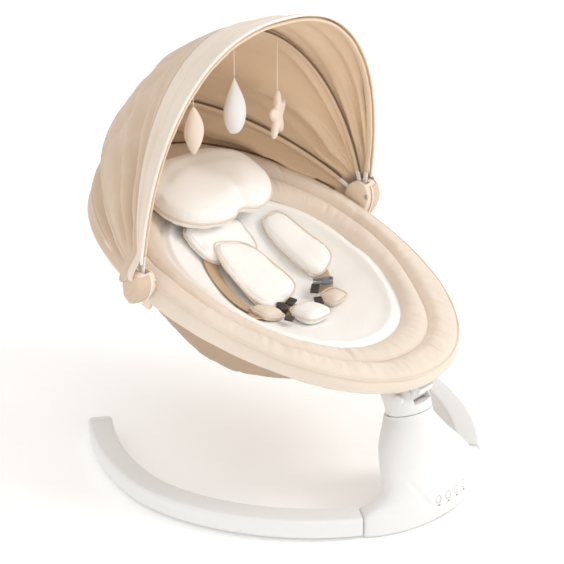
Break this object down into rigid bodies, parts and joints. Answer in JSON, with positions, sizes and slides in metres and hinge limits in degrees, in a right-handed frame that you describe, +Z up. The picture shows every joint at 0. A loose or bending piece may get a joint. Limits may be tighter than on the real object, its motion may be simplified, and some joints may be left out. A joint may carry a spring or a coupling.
{
  "type": "baby swing",
  "caption": "Baby swing on an open ring base: a leaning drive column carries a reclining padded hammock seat under a folding canopy with hanging toys.",
  "frame": {"origin": "middle of the footprint, on the floor", "axes": "+Z up; the foot of the seat and the column face -Y, the head of the seat +Y; +X to the right seen from the front"},
  "size_m": [0.588, 0.6572, 0.6668],
  "materials": {
    "white_plastic": "satin",
    "beige_plastic": "satin",
    "dark_plastic": "satin",
    "grey_plastic": "satin",
    "steel": "satin",
    "hoop_metal": "satin",
    "copper": "satin",
    "board": "matte",
    "rubber": "matte",
    "beige_fabric": "matte",
    "shade_fabric": "matte",
    "cream_fabric": "matte",
    "webbing": "matte"
  },
  "bodies": {
    "base": {"left_leg": "white_plastic", "left_leg_end_cap": "white_plastic", "rear_foot_left": "rubber", "right_leg": "white_plastic", "right_leg_end_cap": "white_plastic", "rear_foot_right": "rubber", "base_housing": "white_plastic", "rear_cover": "white_plastic", "bottom_plate": "white_plastic", "front_foot_left": "rubber", "front_foot_right": "rubber", "control_board": "board", "speaker": "dark_plastic", "dc_inlet": "dark_plastic", "upper_bearing": "steel", "lower_bearing": "steel", "drive_frame": "grey_plastic", "drive_coil": "copper"},
    "swing_head": {"swing_head": "white_plastic", "swing_shaft": "steel", "drive_lever": "dark_plastic", "drive_magnet": "steel", "recline_pin": "steel"},
    "recline_button_left": {"recline_button_left": "white_plastic"},
    "recline_button_right": {"recline_button_right": "white_plastic"},
    "seat": {"seat_bracket": "white_plastic", "seat_frame": "hoop_metal", "rim_pad": "beige_fabric", "hammock": "beige_fabric", "seat_insert": "cream_fabric", "head_pillow": "cream_fabric", "shoulder_pad_right": "cream_fabric", "shoulder_pad_left": "cream_fabric", "crotch_pad": "cream_fabric", "waist_pad_left": "beige_fabric", "waist_pad_right": "beige_fabric", "harness_strap_left": "webbing", "harness_strap_right": "webbing", "harness_buckle": "dark_plastic", "buckle_tongue": "grey_plastic", "hub_base_left": "white_plastic", "hub_base_right": "white_plastic", "hub_cover_left": "beige_plastic", "hub_cover_right": "beige_plastic"},
    "canopy_rear": {"rear_bow": "white_plastic", "canopy_rear_panel": "shade_fabric"},
    "canopy_mid": {"mid_bow": "white_plastic", "canopy_mid_panel": "beige_fabric"},
    "canopy_front": {"front_bow": "white_plastic", "canopy_front_panel": "beige_fabric"},
    "power_button": {"power_button": "white_plastic"},
    "swing_button": {"swing_button": "white_plastic"},
    "music_button": {"music_button": "white_plastic"},
    "timer_button": {"timer_button": "white_plastic"},
    "moon_string": {"moon_string": "cream_fabric"},
    "moon_toy": {"moon_toy": "beige_fabric"},
    "drop_string": {"drop_string": "cream_fabric"},
    "drop_toy": {"drop_toy": "cream_fabric"},
    "star_string": {"star_string": "cream_fabric"},
    "star_toy": {"star_toy": "beige_fabric"}
  },
  "joints": [
    {"name": "swing", "type": "hinge", "parent": "base", "child": "swing_head", "pos_m": [0, -0.24356, 0.139], "axis": [0, 0.309, 0.9511], "range_deg": [-12, 12]},
    {"name": "recline", "type": "hinge", "parent": "swing_head", "child": "seat", "pos_m": [0, -0.24948, 0.16931], "axis": [1, 0, 0], "range_deg": [-8, 8]},
    {"name": "recline_button_left_press", "type": "slide", "parent": "swing_head", "child": "recline_button_left", "axis": [1, 0, 0], "range_m": [0, 0.0025], "stiffness_N_per_m": 600},
    {"name": "recline_button_right_press", "type": "slide", "parent": "swing_head", "child": "recline_button_right", "axis": [-1, 0, 0], "range_m": [0, 0.0025], "stiffness_N_per_m": 600},
    {"name": "canopy_rear_fold", "type": "hinge", "parent": "seat", "child": "canopy_rear", "pos_m": [0, 0.04844, 0.3244], "axis": [-1, 0, 0], "range_deg": [0, 7.5], "deforming": ["canopy_rear_panel"]},
    {"name": "canopy_fold", "type": "hinge", "parent": "canopy_rear", "child": "canopy_mid", "pos_m": [0, 0.04844, 0.3244], "axis": [-1, 0, 0], "range_deg": [0, 22.5], "deforming": ["canopy_mid_panel"]},
    {"name": "canopy_front_fold", "type": "hinge", "parent": "canopy_mid", "child": "canopy_front", "pos_m": [0, 0.04844, 0.3244], "axis": [-1, 0, 0], "range_deg": [0, 7.5], "deforming": ["canopy_front_panel"]},
    {"name": "power_press", "type": "slide", "parent": "base", "child": "power_button", "axis": [0, 0.9848, -0.1736], "range_m": [0, 0.0012], "stiffness_N_per_m": 800},
    {"name": "swing_press", "type": "slide", "parent": "base", "child": "swing_button", "axis": [0, 0.9848, -0.1736], "range_m": [0, 0.0012], "stiffness_N_per_m": 800},
    {"name": "music_press", "type": "slide", "parent": "base", "child": "music_button", "axis": [0, 0.9848, -0.1736], "range_m": [0, 0.0012], "stiffness_N_per_m": 800},
    {"name": "timer_press", "type": "slide", "parent": "base", "child": "timer_button", "axis": [0, 0.9848, -0.1736], "range_m": [0, 0.0012], "stiffness_N_per_m": 800},
    {"name": "moon_string_swing", "type": "hinge", "parent": "canopy_mid", "child": "moon_string", "pos_m": [-0.088, 0.09611, 0.60514], "axis": [-1, 0, 0], "range_deg": [-30, 20]},
    {"name": "moon_toy_swing", "type": "hinge", "parent": "moon_string", "child": "moon_toy", "pos_m": [-0.088, 0.09611, 0.53914], "axis": [0, 1, 0], "range_deg": [-20, 20]},
    {"name": "drop_string_swing", "type": "hinge", "parent": "canopy_mid", "child": "drop_string", "pos_m": [0, 0.10026, 0.62999], "axis": [-1, 0, 0], "range_deg": [-30, 20]},
    {"name": "drop_toy_swing", "type": "hinge", "parent": "drop_string", "child": "drop_toy", "pos_m": [0, 0.10026, 0.56399], "axis": [0, 1, 0], "range_deg": [-20, 20]},
    {"name": "star_string_swing", "type": "hinge", "parent": "canopy_mid", "child": "star_string", "pos_m": [0.088, 0.09611, 0.60514], "axis": [-1, 0, 0], "range_deg": [-30, 20]},
    {"name": "star_toy_swing", "type": "hinge", "parent": "star_string", "child": "star_toy", "pos_m": [0.088, 0.09611, 0.52714], "axis": [0, 1, 0], "range_deg": [-20, 20]}
  ],
  "couplings": [
    {"joint": "canopy_rear_fold", "follows": "canopy_fold", "ratio": 0.33333},
    {"joint": "canopy_front_fold", "follows": "canopy_fold", "ratio": 0.33333}
  ]
}
